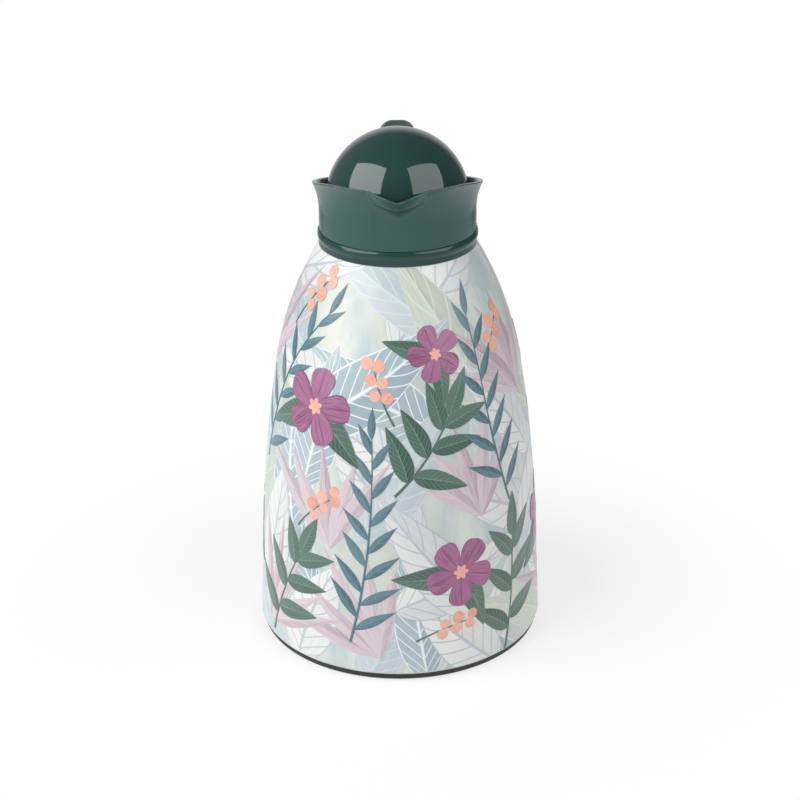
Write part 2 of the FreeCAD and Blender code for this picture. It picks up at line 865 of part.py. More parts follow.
def handle_path():
    """Straight runs joined by tangent arcs."""
    corners = handle_corners()
    moves = [corners[0]]
    bends = [handle_top_bend, handle_low_bend]
    for before, corner, after, bend in zip(corners, corners[1:], corners[2:], bends):
        arriving = (corner - before).normalize()
        leaving = (after - corner).normalize()
        setback = bend * math.tan(arriving.getAngle(leaving) / 2)
        start = corner - arriving * setback
        end = corner + leaving * setback
        moves += [start, (halfway(start, arriving, end), end)]
    return moves + [corners[-1]]


def handle_section(depth, share, centre, way):
    """Half section of the handle: flat at the parting line and crowned on the other side."""
    out = Vector(-way.z, 0, way.x)
    wide = Y * (handle_width / 2 * share)
    edge = out * math.copysign(handle_edge, depth)
    return Part.Wire(edges_of([
        centre - wide, centre + wide, centre + wide + edge,
        (centre + out * (depth * share), centre - wide + edge), centre - wide,
    ]))


def handle_half(depth):
    """One half of the handle, trimmed to the ring and to the shell."""
    moves = handle_path()
    first = (moves[1] - moves[0]).normalize()
    last = (moves[-1] - moves[-2][1]).normalize()
    pipe = Part.BRepOffsetAPI.MakePipeShell(Part.Wire(edges_of(moves)))
    pipe.setBiNormalMode(Y)
    pipe.add(handle_section(depth, 1, moves[0], first))
    pipe.add(handle_section(depth, handle_foot_share, moves[-1], last))
    pipe.build()
    pipe.makeSolid()
    half = pipe.shape().cut(shell_mass(0))
    ring_room = Part.makeCylinder(neck_ledge_radius + ring_bead + fit, through, at(0, ledge_z - ring_height))
    half = to_back(half.cut(ring_room))
    holes = [grip_screw_holes(), root_screw_hole(), foot_screw_hole()]
    return half.cut(tongue(fit)).cut(holes)


def handle_shell():
    return handle_half(handle_outer_depth)


def handle_cover():
    return handle_half(-handle_inner_depth).cut([screw_head_room(*place) for place in handle_screw_places()])


# Screws

def screw(start, way, length):
    """Pan-head screw with its head's underside at start and its shank along a direction."""
    head = Part.makeCylinder(screw_head_radius, screw_head_height, ORIGIN, Z * -1)
    head = rounded(head, screw_head_height / 2, level_edge(screw_head_radius, -screw_head_height))
    shank = Part.makeCylinder(screw_shank_radius, length, ORIGIN, Z)
    tip = [edge for edge in shank.Edges if level_edge(screw_shank_radius, length)(edge)]
    shank = shank.makeChamfer(screw_shank_radius / 2, tip)
    whole = head.fuse(shank).removeSplitter()
    for angle in (0, 90):
        slot = Part.makeBox(2 * screw_shank_radius, screw_slot_width, screw_slot_depth)
        slot.translate(Vector(-screw_shank_radius, -screw_slot_width / 2, -screw_head_height))
        whole = whole.cut(slot.rotate(ORIGIN, Z, angle))
    whole.Placement = FreeCAD.Placement(start, Rotation(Z, way))
    return whole


def screw_hole(start, way, length):
    """Hole for a screw's shank, open under its head."""
    return rod(screw_shank_radius, start - way * screw_seat, start + way * length)


def screw_head_room(start, way, _):
    """Straight recess for a screw's head, from its seat outwards."""
    return rod(screw_head_radius + fit, start, start - way * (screw_head_height + screw_grip))


def root_screw_place():
    """Upright screw through the cover and the tongue into the handle's outer half."""
    start = (ring_bore + neck_ledge_radius) / 2 + tongue_length * screw_bite
    seat_z = handle_root_z() - tongue_height / 2 - fit - screw_seat
    return side(start, seat_z), Z, tongue_height + screw_grip


def root_screw_hole():
    return screw_hole(*root_screw_place())


def grip_screw_places():
    """Screws across the parting line in the straight grip, heads on the body's side."""
    moves = handle_path()
    top = moves[2][1]
    bottom = moves[3]
    along = (bottom - top).normalize()
    out = Vector(-along.z, 0, along.x)
    places = []
    for share in grip_screw_shares:
        seat = top + (bottom - top) * share - out * screw_seat
        turn = Rotation(Z, 90)
        places.append((turn.multVec(seat), turn.multVec(out), screw_grip))
    return places


def grip_screw_holes():
    return Part.makeCompound([screw_hole(*place) for place in grip_screw_places()])


def handle_screw_places():
    return [root_screw_place()] + grip_screw_places()


def handle_screws():
    return Part.makeCompound([screw(*place) for place in handle_screw_places()])


def foot_screw_place():
    """Level screw from inside the shell into the handle's foot."""
    start = shell_radius(handle_foot_z) - shell_wall - seat_gap
    return side(start, handle_foot_z), Y, shell_wall + screw_grip


def foot_screw_hole():
    return screw_hole(*foot_screw_place())


def handle_foot_screw():
    return screw(*foot_screw_place())


def lever_screw_places():
    """Two screws from inside the dome into the lever's saddle, square to the dome."""
    places = []
    for sign in (-1, 1):
        out = Vector(sign * saddle_width / 4, dome_radius, pin_z - dome_z + knuckle_radius * 2)
        out.normalize()
        inner = dome_radius - dome_wall
        seat = dome_centre() + out * math.sqrt(inner ** 2 - screw_head_radius ** 2)
        places.append((seat, out, dome_wall + saddle_thickness * screw_bite))
    return places


def lever_screw_holes():
    return Part.makeCompound([screw_hole(*place) for place in lever_screw_places()])


def lever_screws():
    return Part.makeCompound([screw(*place) for place in lever_screw_places()])


def stopper_screw_place():
    return at(0, stopper_tip_z()), Z, stopper_top_z() - stopper_tip_z() + lid_boss_height * screw_bite


def stopper_screw_hole():
    return screw_hole(*stopper_screw_place())


def stopper_screw():
    return screw(*stopper_screw_place())


PIECES = [
    body_shell, base_cap, foot_ring, liner_cushion, outer_flask, inner_flask, neck_seal,
    neck_ring, pour_collar, hinge_pin, hinge_spring,
    lid_dome, lid_base, lid_foam, stopper, stopper_foam, stopper_seal, stopper_screw,
    thumb_lever, lever_screws,
    handle_shell, handle_cover, handle_screws, handle_foot_screw,
]

os.makedirs("parts", exist_ok=True)
for piece in PIECES:
    shape = piece()
    facts = (piece.__name__, len(shape.Solids), shape.isValid(), shape.Volume)
    print("%-18s solids %d valid %s volume %.0f" % facts)
    shape.exportStep("parts/%s.step" % piece.__name__)
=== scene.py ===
import math
import random

import bmesh
import bpy
from mathutils import Matrix, Vector


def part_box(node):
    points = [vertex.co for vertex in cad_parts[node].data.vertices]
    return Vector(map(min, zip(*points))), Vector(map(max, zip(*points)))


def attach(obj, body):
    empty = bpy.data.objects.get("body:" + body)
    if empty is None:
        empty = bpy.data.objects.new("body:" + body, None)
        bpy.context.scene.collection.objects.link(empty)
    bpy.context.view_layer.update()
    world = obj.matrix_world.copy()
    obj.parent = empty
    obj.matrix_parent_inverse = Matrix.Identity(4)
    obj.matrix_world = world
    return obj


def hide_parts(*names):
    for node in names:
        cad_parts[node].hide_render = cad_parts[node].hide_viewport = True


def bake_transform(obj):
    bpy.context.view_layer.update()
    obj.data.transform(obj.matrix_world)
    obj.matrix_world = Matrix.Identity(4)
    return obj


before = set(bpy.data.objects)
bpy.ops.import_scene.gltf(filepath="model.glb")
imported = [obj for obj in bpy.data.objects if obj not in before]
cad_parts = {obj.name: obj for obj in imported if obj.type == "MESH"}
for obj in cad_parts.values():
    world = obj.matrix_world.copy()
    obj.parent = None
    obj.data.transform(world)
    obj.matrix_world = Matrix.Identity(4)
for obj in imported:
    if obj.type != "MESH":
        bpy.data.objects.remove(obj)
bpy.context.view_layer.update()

# Printed vacuum jug with a hinged ball lid.
# Metres, with +Z up, the pouring lip towards -Y and the handle towards +Y.
MM = 0.001

# Meshing: how close points are welded, and how sharp an edge has to be to stay hard
weld = 0.001 * MM
round_crease_deg = 35
wall_crease_deg = 40

# Shell outline: a straight taper, a long belly arc and a shoulder arc up to the neck ledge
taper_deg = 3.0
taper_height = 57.0 * MM
neck_slope_deg = 30.8
belly_reach = 40.3 * MM
shell_wall = 2.2 * MM
shell_edge_round = 0.8 * MM
shell_foot_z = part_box("body_shell")[0].z
base_inset = 1.5 * MM
shell_foot_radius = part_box("base_cap")[1].x + base_inset
shell_top_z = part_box("body_shell")[1].z
ledge_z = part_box("neck_ring")[0].z
ring_overhang = 0.55 * MM
ledge_radius = -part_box("neck_ring")[0].y - ring_overhang
neck_radius = 33.0 * MM
turn_steps = 192
shell_levels = 90

# Pouring collar: straight wall that flares to a tilted rim, dipping in front to the beak.
# The lip has an upright face with a bowed lower edge, a short underside and a long fillet into the wall.
# Values named curve or easing are exponents.
collar_z = ledge_z + 7.2 * MM
collar_foot_radius = 37.2 * MM
collar_wall = 2.2 * MM
collar_steps = 288
front_crowding = 0.6
flare_z = collar_z + 9.8 * MM
flare_radius = 33.0 * MM
wall_rise = 18.0 * MM
rim_front_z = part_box("pour_collar")[1].z
rim_side_z = collar_z + 22.7 * MM
rim_tilt = math.radians(13.5)
rim_blend_radius = 30.0 * MM
rim_round = 0.75 * MM
lip_z = collar_z + 26.5 * MM
lip_round = 2.6 * MM
lip_shoulder_radius = 52.0 * MM
beak_reach = 3.0 * MM
beak_spread_deg = 15.0
beak_rise = 12.0 * MM
beak_growth_curve = 1.5
beak_hollow_curve = 1.4
beak_least_share = 0.05
nose_round = 0.3
lip_spread_deg = 18.5
lip_face = 4.6 * MM
lip_face_bow = 4.8 * MM
lip_least_face = 0.4 * MM
lip_face_lean = 0.8 * MM
lip_underside = 1.2 * MM
lip_underside_height = 1.6 * MM
lip_underside_curve = 1.5
lip_fillet = 2.0 * MM
lip_fillet_height = 6.0 * MM
lip_fillet_curve = 1.6
lip_end_curve = 2.0
lip_end_easing = 1.3
lip_wall_share = 0.8
rim_trials = 24
wall_rows = 40
throat_radius = 18.0 * MM
throat_z = collar_z - 1.4 * MM
throat_foot_z = throat_z - 3.0 * MM
bowl_slope = math.radians(20)
bowl_corner_radius = 4.0 * MM
bowl_corner_steps = 6
seal_cup_inner = 26.4 * MM
seal_cup_outer = 28.4 * MM
seal_cup_drop = 5.0 * MM
neck_gap = 0.2 * MM
skirt_root = 30.6 * MM
skirt_inner = 33.2 * MM
skirt_outer = 35.2 * MM
skirt_drop = 6.0 * MM
ear_inner = 10.15 * MM
ear_thickness = 3.5 * MM
ear_edge_round = 0.5 * MM
ear_radius = 4.6 * MM
ear_steps = 24
ear_root_y = 33.8 * MM
ear_low_z = collar_z + 4.6 * MM
pin_y = sum(corner.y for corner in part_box("hinge_pin")) / 2
pin_z = sum(corner.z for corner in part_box("hinge_pin")) / 2

# Closing spring: a coil about the pin between a leg on the collar and a leg behind the thumb piece
spring_wire = 0.9 * MM
coil_radius = 2.55 * MM
coil_length = 8.6 * MM
coil_first_deg = -35.0
coil_last_deg = 1788.0
coil_steps = 160
wire_sides = 14
rest_leg = 13.4 * MM
push_leg = 10.0 * MM

# Print: thin films of ink on the shell, each one layer above what it overlaps
film_step = 0.024 * MM
film_layers = 18
film_sink = 0.03 * MM
film_cell = 1.8 * MM
film_least_rows = 12
film_least_columns = 4
film_tip = 0.004
spot_count = 6
film_low_z = shell_foot_z + 1.0 * MM
film_high_z = ledge_z - 0.4 * MM
skin_inset = film_step * film_layers
peel_depth = 0.1 * MM
print_gloss = 0.32
print_seed = 11

# Layout of the broad leaves and blades behind the other motifs
foliage_rows = 7
foliage_first_mm = -30
foliage_pitch_mm = 33
foliage_spacing = 40 * MM
blade_sprays = 11

# Camera
camera_place = (0, -808.5 * MM, 486.3 * MM)
camera_pitch_deg = 24.51
camera_roll_deg = -0.37
camera_lens = 81
camera_sensor = 36
camera_shift = 0.0014

# Floor: its glow for the camera and in reflections, each between two distances from the jug, and its paints
floor_radius = 1.0
floor_y = -0.45
floor_sides = 96
shadow_reach = (0.1, 0.22)
shadow_glow = (0.7, 1.0)
mirrored_reach = (0.25, 0.5)
mirrored_glow = (0.9, 0.3)
floor_bounce = (0.6, 0.6, 0.6, 1)
floor_paint = (0.98, 0.98, 0.98, 1)

# Room: a lit wall behind the jug, and a dim light that falls off from left to right
wall_edge = (0.8, 0.97)
wall_glow = (0.0, 0.6)
wall_top = (0.7, 0.4)
room_sides = (-0.9, 0.5)
room_glow = (0.3, 0.13)

# Panel lamps
panel_distance = 2.2
panel_height = 2.6
panel_roll_deg = 22
panel_aim_z = 0.2


# Shader helpers

def add(tree, kind, *values, **settings):
    """Adds a node, sets its first inputs to values or links, and returns its outputs."""
    node = tree.nodes.new("ShaderNode" + kind)
    for key, value in settings.items():
        setattr(node, key, value)
    for socket, value in zip(node.inputs, values):
        plug(tree, socket, value)
    return node.outputs


def plug(tree, socket, value):
    if isinstance(value, bpy.types.NodeSocket):
        tree.links.new(value, socket)
    elif value is not None:
        socket.default_value = value


def calc(tree, operation, *values):
    return add(tree, "Math", *values, operation=operation)[0]


def blend_colour(tree, share, first, second):
    node = tree.nodes.new("ShaderNodeMix")
    node.data_type = "RGBA"
    plug(tree, node.inputs[0], share)
    plug(tree, node.inputs[6], first)
    plug(tree, node.inputs[7], second)
    return node.outputs[2]


def spread(tree, value, low, high, to_low=0.0, to_high=1.0):
    return add(tree, "MapRange", value, low, high, to_low, to_high)[0]


def noise(tree, place, scale, detail=2.0, rough=0.5):
    return add(tree, "TexNoise", place, None, scale, detail, rough)[0]


def shader_group(name, inputs, outputs):
    """Empty node group with named sockets, its input's outputs and its output's inputs."""
    group = bpy.data.node_groups.new(name, "ShaderNodeTree")
    for label, kind, value in inputs:
        socket = group.interface.new_socket(label, in_out="INPUT", socket_type="NodeSocket" + kind)
        socket.default_value = value
    for label, kind in outputs:
        group.interface.new_socket(label, in_out="OUTPUT", socket_type="NodeSocket" + kind)
    source = group.nodes.new("NodeGroupInput")
    sink = group.nodes.new("NodeGroupOutput")
    return group, source.outputs, sink.inputs


def use_group(tree, group, **values):
    """Places a group in a material; an underscore in a name stands for a space."""
    node = tree.nodes.new("ShaderNodeGroup")
    node.node_tree = group
    for key, value in values.items():
        plug(tree, node.inputs[key.replace("_", " ")], value)
    return node.outputs


def linear(red, green, blue):
    """Colour as it is seen on a screen, from 0 to 255, for a shader."""
    parts = [part / 255 for part in (red, green, blue)]
    return [part / 12.92 if part < 0.04045 else ((part + 0.055) / 1.055) ** 2.4 for part in parts] + [1.0]


def new_material(name, **sockets):
    """Material with its Principled shader set on its own sockets."""
    material = bpy.data.materials.new(name)
    material.use_nodes = True
    shader = material.node_tree.nodes["Principled BSDF"]
    for key, value in sockets.items():
        shader.inputs[key.replace("_", " ")].default_value = value
    return material, material.node_tree, shader


# Shared effects

def make_moulded():
    """Moulded plastic: a slow drift of the colour, uneven gloss and fine orange peel."""
    group, given, out = shader_group(
        "moulded_plastic",
        [("Colour", "Color", (0.5, 0.5, 0.5, 1)), ("Drift", "Float", 0.1), ("Gloss", "Float", 0.2),
         ("Unevenness", "Float", 0.05), ("Peel Scale", "Float", 900.0)],
        [("Colour", "Color"), ("Roughness", "Float"), ("Height", "Float")])
    place = add(group, "TexCoord")["Object"]
    slow = noise(group, place, scale=26.0, detail=3.0)
    shade = add(group, "HueSaturation", 0.5, 1.0,
                spread(group, slow, 0.3, 0.7, calc(group, "SUBTRACT", 1.0, given["Drift"]),
                       calc(group, "ADD", 1.0, given["Drift"])), 1.0, given["Colour"])[0]
    patchy = noise(group, place, scale=60.0, detail=5.0, rough=0.6)
    gloss = calc(group, "ADD", given["Gloss"],
                 calc(group, "MULTIPLY", given["Unevenness"], calc(group, "SUBTRACT", patchy, 0.5)))
    peel = noise(group, place, given["Peel Scale"], detail=1.0)
    plug(group, out["Colour"], shade)
    plug(group, out["Roughness"], gloss)
    plug(group, out["Height"], peel)
    return group


def make_brushed():
    """Drawn steel: fine lines along one direction and faint staining."""
    group, given, out = shader_group(
        "drawn_steel",
        [("Colour", "Color", (0.6, 0.6, 0.6, 1)), ("Gloss", "Float", 0.25)],
        [("Colour", "Color"), ("Roughness", "Float"), ("Height", "Float")])
    place = add(group, "TexCoord")["Object"]
    stretched = add(group, "Mapping", place, None, None, (40.0, 900.0, 900.0))[0]
    lines = noise(group, stretched, scale=3.0, detail=3.0)
    stain = calc(group, "MULTIPLY", noise(group, place, scale=300.0, detail=3.0), 0.35)
    plug(group, out["Colour"], blend_colour(group, stain, given["Colour"], (0.28, 0.27, 0.25, 1)))
    plug(group, out["Roughness"], calc(group, "ADD", given["Gloss"], calc(group, "MULTIPLY", lines, 0.2)))
    plug(group, out["Height"], lines)
    return group


moulded = make_moulded()
drawn_steel = make_brushed()


# Finishes

def finish_from(material, tree, shader, effect, bump, reach):
    """Joins a shared effect to a material's colour, gloss and bump."""
    plug(tree, shader.inputs["Base Color"], effect["Colour"])
    plug(tree, shader.inputs["Roughness"], effect["Roughness"])
    relief = tree.nodes.new("ShaderNodeBump")
    relief.inputs["Strength"].default_value = bump
    relief.inputs["Distance"].default_value = reach
    plug(tree, relief.inputs["Height"], effect["Height"])
    plug(tree, shader.inputs["Normal"], relief.outputs["Normal"])
    return material


def plastic(name, colour, gloss, drift, unevenness, peel, bump, **sockets):
    material, tree, shader = new_material(name, **sockets)
    effect = use_group(tree, moulded, Colour=colour, Drift=drift, Gloss=gloss, Unevenness=unevenness,
                       Peel_Scale=peel)
    return finish_from(material, tree, shader, effect, bump, peel_depth)


def steel(name, colour, gloss):
    material, tree, shader = new_material(name, Metallic=1.0)
    effect = use_group(tree, drawn_steel, Colour=colour, Gloss=gloss)
    return finish_from(material, tree, shader, effect, bump=0.08, reach=0.05 * MM)


def clear_glass():
    material, tree, shader = new_material("clear_glass", Transmission_Weight=1.0, IOR=1.47)
    place = add(tree, "TexCoord")["Object"]
    haze = spread(tree, noise(tree, place, scale=30.0), low=0.2, high=0.8, to_low=0.01, to_high=0.04)
    plug(tree, shader.inputs["Roughness"], haze)
    shader.inputs["Base Color"].default_value = linear(238, 248, 246)
    return material


green_gloss = plastic("green_gloss", linear(26, 61, 59), gloss=0.06, drift=0.05, unevenness=0.04, peel=160.0,
                      bump=0.015, Specular_IOR_Level=0.8)
green_satin = plastic("green_satin", linear(45, 85, 82), gloss=0.18, drift=0.05, unevenness=0.06, peel=1400.0,
                      bump=0.03)
# Thumb lever: its green is painted lighter than the other greens, a painted sheen for the soft light that its
# face catches.
painted_sheen_lever = plastic("painted_sheen_lever", linear(72, 95, 93), gloss=0.45, drift=0.05, unevenness=0.06, peel=1400.0,
                      bump=0.05)
green_ring = plastic("green_ring", linear(28, 66, 63), gloss=0.14, drift=0.05, unevenness=0.05, peel=1200.0,
                     bump=0.02)
dark_base = plastic("dark_base", linear(38, 39, 40), gloss=0.5, drift=0.15, unevenness=0.1, peel=1800.0,
                    bump=0.25)
black_rubber = plastic("black_rubber", linear(30, 30, 31), gloss=0.75, drift=0.2, unevenness=0.1, peel=2500.0,
                       bump=0.3)
silicone = plastic("silicone", linear(226, 224, 216), gloss=0.45, drift=0.04, unevenness=0.1, peel=1500.0,
                   bump=0.1, Subsurface_Weight=0.2, Subsurface_Scale=0.002)
inner_plastic = plastic("inner_plastic", linear(228, 226, 218), gloss=0.38, drift=0.03, unevenness=0.08,
                        peel=1200.0, bump=0.08)
foam = plastic("foam", linear(240, 232, 205), gloss=0.9, drift=0.08, unevenness=0.05, peel=2600.0, bump=0.6)
silvered_glass = steel("silvered_glass", linear(226, 228, 230), gloss=0.05)
bright_steel = steel("bright_steel", linear(205, 205, 200), gloss=0.22)
glass = clear_glass()

NODE_FINISHES = {
    "base_cap": dark_base, "foot_ring": black_rubber, "liner_cushion": black_rubber,
    "outer_flask": silvered_glass, "inner_flask": glass, "neck_seal": silicone, "neck_ring": green_ring,
    "lid_dome": green_gloss, "lid_base": inner_plastic, "lid_foam": foam, "stopper": inner_plastic,
    "stopper_foam": foam, "stopper_seal": silicone, "stopper_screw": bright_steel, "thumb_lever": painted_sheen_lever,
    "lever_screws": bright_steel, "hinge_pin": bright_steel, "handle_shell": green_gloss,
    "handle_cover": green_satin, "handle_screws": bright_steel, "handle_foot_screw": bright_steel,
}
for node, finish in NODE_FINISHES.items():
    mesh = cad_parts[node].data
    mesh.materials.clear()
    mesh.materials.append(finish)


# Mesh helpers

def placed(name, data):
    """New object in the scene that shows a mesh, lamp or camera."""
    thing = bpy.data.objects.new(name, data)
    bpy.context.scene.collection.objects.link(thing)
    return thing


def mesh_from(name, shape, finish):
    """Turns a bmesh into a mesh with one finish."""
    mesh = bpy.data.meshes.new(name)
    shape.to_mesh(mesh)
    shape.free()
    mesh.materials.append(finish)
    return mesh


def piece_from(name, shape, finish, slot, *stands_for):
    """Turns a bmesh into a piece with a finish, in place of the CAD nodes that it stands for, which are
    hidden; the slot is not used.
    """
    piece = placed(name, mesh_from(name, shape, finish))
    if stands_for:
        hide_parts(*stands_for)
    return piece


def turned(outline, steps):
    """Full turn of a closed outline of (radius, height) points about the jug's axis."""
    shape = bmesh.new()
    corners = [shape.verts.new((radius, 0, height)) for radius, height in outline]
    edges = [shape.edges.new(pair) for pair in zip(corners, corners[1:] + corners[:1])]
    bmesh.ops.spin(shape, geom=corners + edges, cent=(0, 0, 0), axis=(0, 0, 1), angle=math.tau, steps=steps,
                   use_merge=True)
    bmesh.ops.remove_doubles(shape, verts=shape.verts, dist=weld)
    bmesh.ops.recalc_face_normals(shape, faces=shape.faces)
    soften(shape, round_crease_deg)
    return shape


def soften(shape, crease_deg):
    """Smooth shading, with edges sharper than the crease left hard."""
    for face in shape.faces:
        face.smooth = True
    for edge in shape.edges:
        edge.smooth = edge.is_manifold and edge.calc_face_angle() < math.radians(crease_deg)


# Shell outline

def heading(degrees):
    return Vector((-math.sin(math.radians(degrees)), math.cos(math.radians(degrees))))


def arc_centre(start, way, end):
    """Centre of the arc that leaves start along a way, on the axis side, and stops at end."""
    inward = Vector((-way.y, way.x))
    chord = end - start
    return start + inward * (chord.length_squared / (2 * chord.dot(inward)))


def shell_arcs():
    """Start, centre and radius of the belly and shoulder arcs."""
    foot_way, neck_way = heading(taper_deg), heading(neck_slope_deg)
    start = Vector((shell_foot_radius, shell_foot_z)) + foot_way * (taper_height / foot_way.y)
    end = Vector((ledge_radius, ledge_z))
    gap = end - start
    other = gap.length_squared / 2 - belly_reach * gap.dot(foot_way)
    other /= gap.dot(neck_way) - belly_reach * (foot_way.dot(neck_way) - 1)
    near, far = start + foot_way * belly_reach, end - neck_way * other
    join = (near * other + far * belly_reach) / (belly_reach + other)
    belly = arc_centre(start, foot_way, join)
    shoulder = arc_centre(join, (far - near).normalized(), end)
    return [(start.y, belly, (start - belly).length), (join.y, shoulder, (join - shoulder).length)]


ARCS = shell_arcs()


def shell_radius(height):
    """Outer radius of the shell at a height."""
    (belly_z, belly, belly_size), (shoulder_z, shoulder, shoulder_size) = ARCS
    if height < belly_z:
        return shell_foot_radius - (height - shell_foot_z) * math.tan(math.radians(taper_deg))
    if height < shoulder_z:
        return belly.x + math.sqrt(belly_size ** 2 - (height - belly.y) ** 2)
    return shoulder.x + math.sqrt(shoulder_size ** 2 - (height - shoulder.y) ** 2)


def shell_skin():
    """Shell with its foot edge rounded, its ledge and its neck, set in by the depth of the print."""
    low_z = shell_foot_z + shell_edge_round
    rise = ledge_z - shell_foot_z - shell_edge_round
    levels = [low_z + rise * step / shell_levels for step in range(shell_levels + 1)]
    outside = [(shell_radius(level) - skin_inset, level) for level in levels]
    foot_r = outside[0][0]
    foot = [(foot_r - shell_edge_round * (1 - math.sin(turn)),
             shell_foot_z + shell_edge_round * (1 - math.cos(turn)))
            for turn in (0, math.pi / 8, math.pi / 4, 3 * math.pi / 8)]
    neck = [(neck_radius, ledge_z), (neck_radius, shell_top_z), (neck_radius - shell_wall, shell_top_z)]
    inside = [(shell_radius(level) - shell_wall - skin_inset, level) for level in reversed(levels[:-2])
              if shell_radius(level) - shell_wall - skin_inset > neck_radius - shell_wall]
    inside.append((foot_r - shell_wall, shell_foot_z))
    return turned(foot + outside + neck + inside, turn_steps)


# Pouring collar

def collar_radius(height):
    """Outer radius of the collar's wall away from the beak."""
    return collar_foot_radius + flare_radius - math.sqrt(flare_radius ** 2 - max(height - flare_z, 0) ** 2)


def lip_height(angle, rim):
    """Height of the lip's upright face, from the rim down to its bowed lower edge."""
    return max(rim - lip_z + lip_face - lip_face_bow * lip_share(angle) ** 2, lip_least_face)


def lip_share(angle):
    """Way from the middle of the lip to its end, from 0 to 1."""
    return min(math.degrees(abs(angle)) / lip_spread_deg, 1)


def beak_draw(angle, height, depth, face):
    """How far the wall is drawn out to the beak, at an angle from the lip and a depth below the rim."""
    turn_deg = math.degrees(abs(angle))
    share = max(height - lip_z + beak_rise, 0) / beak_rise
    turn = min(turn_deg / (beak_spread_deg * max(share, beak_least_share)), 1)
    fold = (math.hypot(turn, nose_round) - nose_round) / (math.hypot(1, nose_round) - nose_round)
    drawn = beak_reach * share ** beak_growth_curve * (1 - fold) ** beak_hollow_curve
    down = min(depth / face, 1)
    under = max(depth - face, 0)
    steep = lip_underside * max(1 - under / lip_underside_height, 0) ** lip_underside_curve
    long = lip_fillet * max(1 - under / lip_fillet_height, 0) ** lip_fillet_curve
    end = (1 - lip_share(angle) ** 2) ** (lip_end_curve - lip_end_easing * down)
    return drawn + (steep + long - lip_face_lean * down) * end


def wall_depth(face, along, whole):
    """Depth below the rim along the wall's rise, in quarters: plain wall, fillet, underside and face."""
    squeeze = min(lip_wall_share * whole / (face + lip_fillet_height), 1)
    unders = (lip_fillet_height, lip_underside_height, 0)
    levels = [whole] + [squeeze * (face + under) for under in unders] + [0]
    quarter = min(int(along * 4), 3)
    return levels[quarter] + (levels[quarter + 1] - levels[quarter]) * (along * 4 - quarter)


def level_rim(y):
    """Height of the rim without its dip: level in front, then one bend and a slope down to the back."""
    slope = math.tan(rim_tilt)
    bend_y = -(rim_front_z - rim_side_z) / slope
    into = y - bend_y + rim_blend_radius * math.tan(rim_tilt / 2)
    if into < 0:
        return rim_front_z
    if into < rim_blend_radius * math.sin(rim_tilt):
        return rim_front_z - rim_blend_radius + math.sqrt(rim_blend_radius ** 2 - into ** 2)
    return rim_side_z - y * slope


def dipped_rim(x):
    """Height of the dip over the beak: a round bottom between two long shoulders."""
    drop = rim_front_z - lip_z
    both = lip_round + lip_shoulder_radius
    reach = math.sqrt(2 * both * drop - drop ** 2)
    off = min(abs(x), reach)
    if off < reach * lip_round / both:
        return lip_z + lip_round - math.sqrt(lip_round ** 2 - off ** 2)
    return rim_front_z - lip_shoulder_radius + math.sqrt(lip_shoulder_radius ** 2 - (reach - off) ** 2)


def rim_height(angle):
    """Height of the rim at an angle from the lip, found where the wall meets the rim's outline."""
    height = rim_front_z
    for _ in range(rim_trials):
        radius = collar_radius(height) + beak_draw(angle, height, 0, lip_face) - collar_wall / 2
        level = level_rim(-radius * math.cos(angle))
        height = min(level, dipped_rim(radius * math.sin(angle))) if math.cos(angle) > 0 else level
    return height


def collar_outline():
    """Section of the collar with a plain upright wall, rounded at its top."""
    bowl_radius = collar_foot_radius - collar_wall
    corner_z = throat_z + (bowl_radius - throat_radius) * math.tan(bowl_slope)
    setback = bowl_corner_radius * math.tan((math.pi / 2 - bowl_slope) / 2)
    centre = (bowl_radius - bowl_corner_radius, corner_z + setback)
    rises = [wall_rise * step / wall_rows for step in range(wall_rows + 1)]
    turns = [math.pi / 8 * step for step in range(1, 5)]
    top = flare_z + wall_rise
    outside = [(collar_foot_radius, collar_z)] + [(collar_foot_radius, flare_z + rise) for rise in rises]
    curl = [(rim_round * (1 - math.cos(turn)), top + rim_round * math.sin(turn)) for turn in turns]
    rim = [(collar_foot_radius - inward, height) for inward, height in curl]
    rim += [(bowl_radius + inward, height) for inward, height in curl[::-1]]
    inside = [(bowl_radius, flare_z + rise) for rise in rises[::-1]]
    sweep = math.pi / 2 - bowl_slope
    bends = [sweep * step / bowl_corner_steps for step in range(bowl_corner_steps + 1)]
    corner = [(centre[0] + bowl_corner_radius * math.cos(bend),
               centre[1] - bowl_corner_radius * math.sin(bend)) for bend in bends]
    throat = [(throat_radius, throat_z), (throat_radius, throat_foot_z)]
    cup_foot_z = throat_foot_z - seal_cup_drop
    cup = [(seal_cup_inner, throat_foot_z), (seal_cup_inner, cup_foot_z), (seal_cup_outer, cup_foot_z),
           (seal_cup_outer, throat_foot_z)]
    over_neck = shell_top_z + neck_gap
    skirt_foot_z = collar_z - skirt_drop
    skirt = [(skirt_root, over_neck), (skirt_inner, over_neck), (skirt_inner, skirt_foot_z),
             (skirt_outer, skirt_foot_z), (skirt_outer, collar_z)]
    return outside + rim + inside + corner + throat + cup + skirt


def pour_collar():
    """Collar with its wall flared, cut to the rim and drawn out to the beak, and two hinge ears."""
    shape = turned(collar_outline(), collar_steps)
    rims = {}
    for vert in shape.verts:
        turn = math.atan2(vert.co.x, -vert.co.y)
        angle = turn - front_crowding * math.sin(turn)
        inset = collar_foot_radius - math.hypot(vert.co.x, vert.co.y)
        rise, height, drawn = vert.co.z - flare_z, vert.co.z, collar_foot_radius
        if rise > 0:
            key = round(turn, 5)
            rims[key] = rims.get(key) or rim_height(angle)
            top = rims[key] - rim_round
            face = lip_height(angle, rims[key])
            depth = wall_depth(face, min(rise / wall_rise, 1), top - flare_z)
            height = top - depth + max(rise - wall_rise, 0)
            drawn = collar_radius(height) + beak_draw(angle, height, depth, face)
        vert.co = ((drawn - inset) * math.sin(angle), -(drawn - inset) * math.cos(angle), height)
    for sign in (-1, 1):
        add_ear(shape, sign)
    bmesh.ops.recalc_face_normals(shape, faces=shape.faces)
    soften(shape, wall_crease_deg)
    return shape


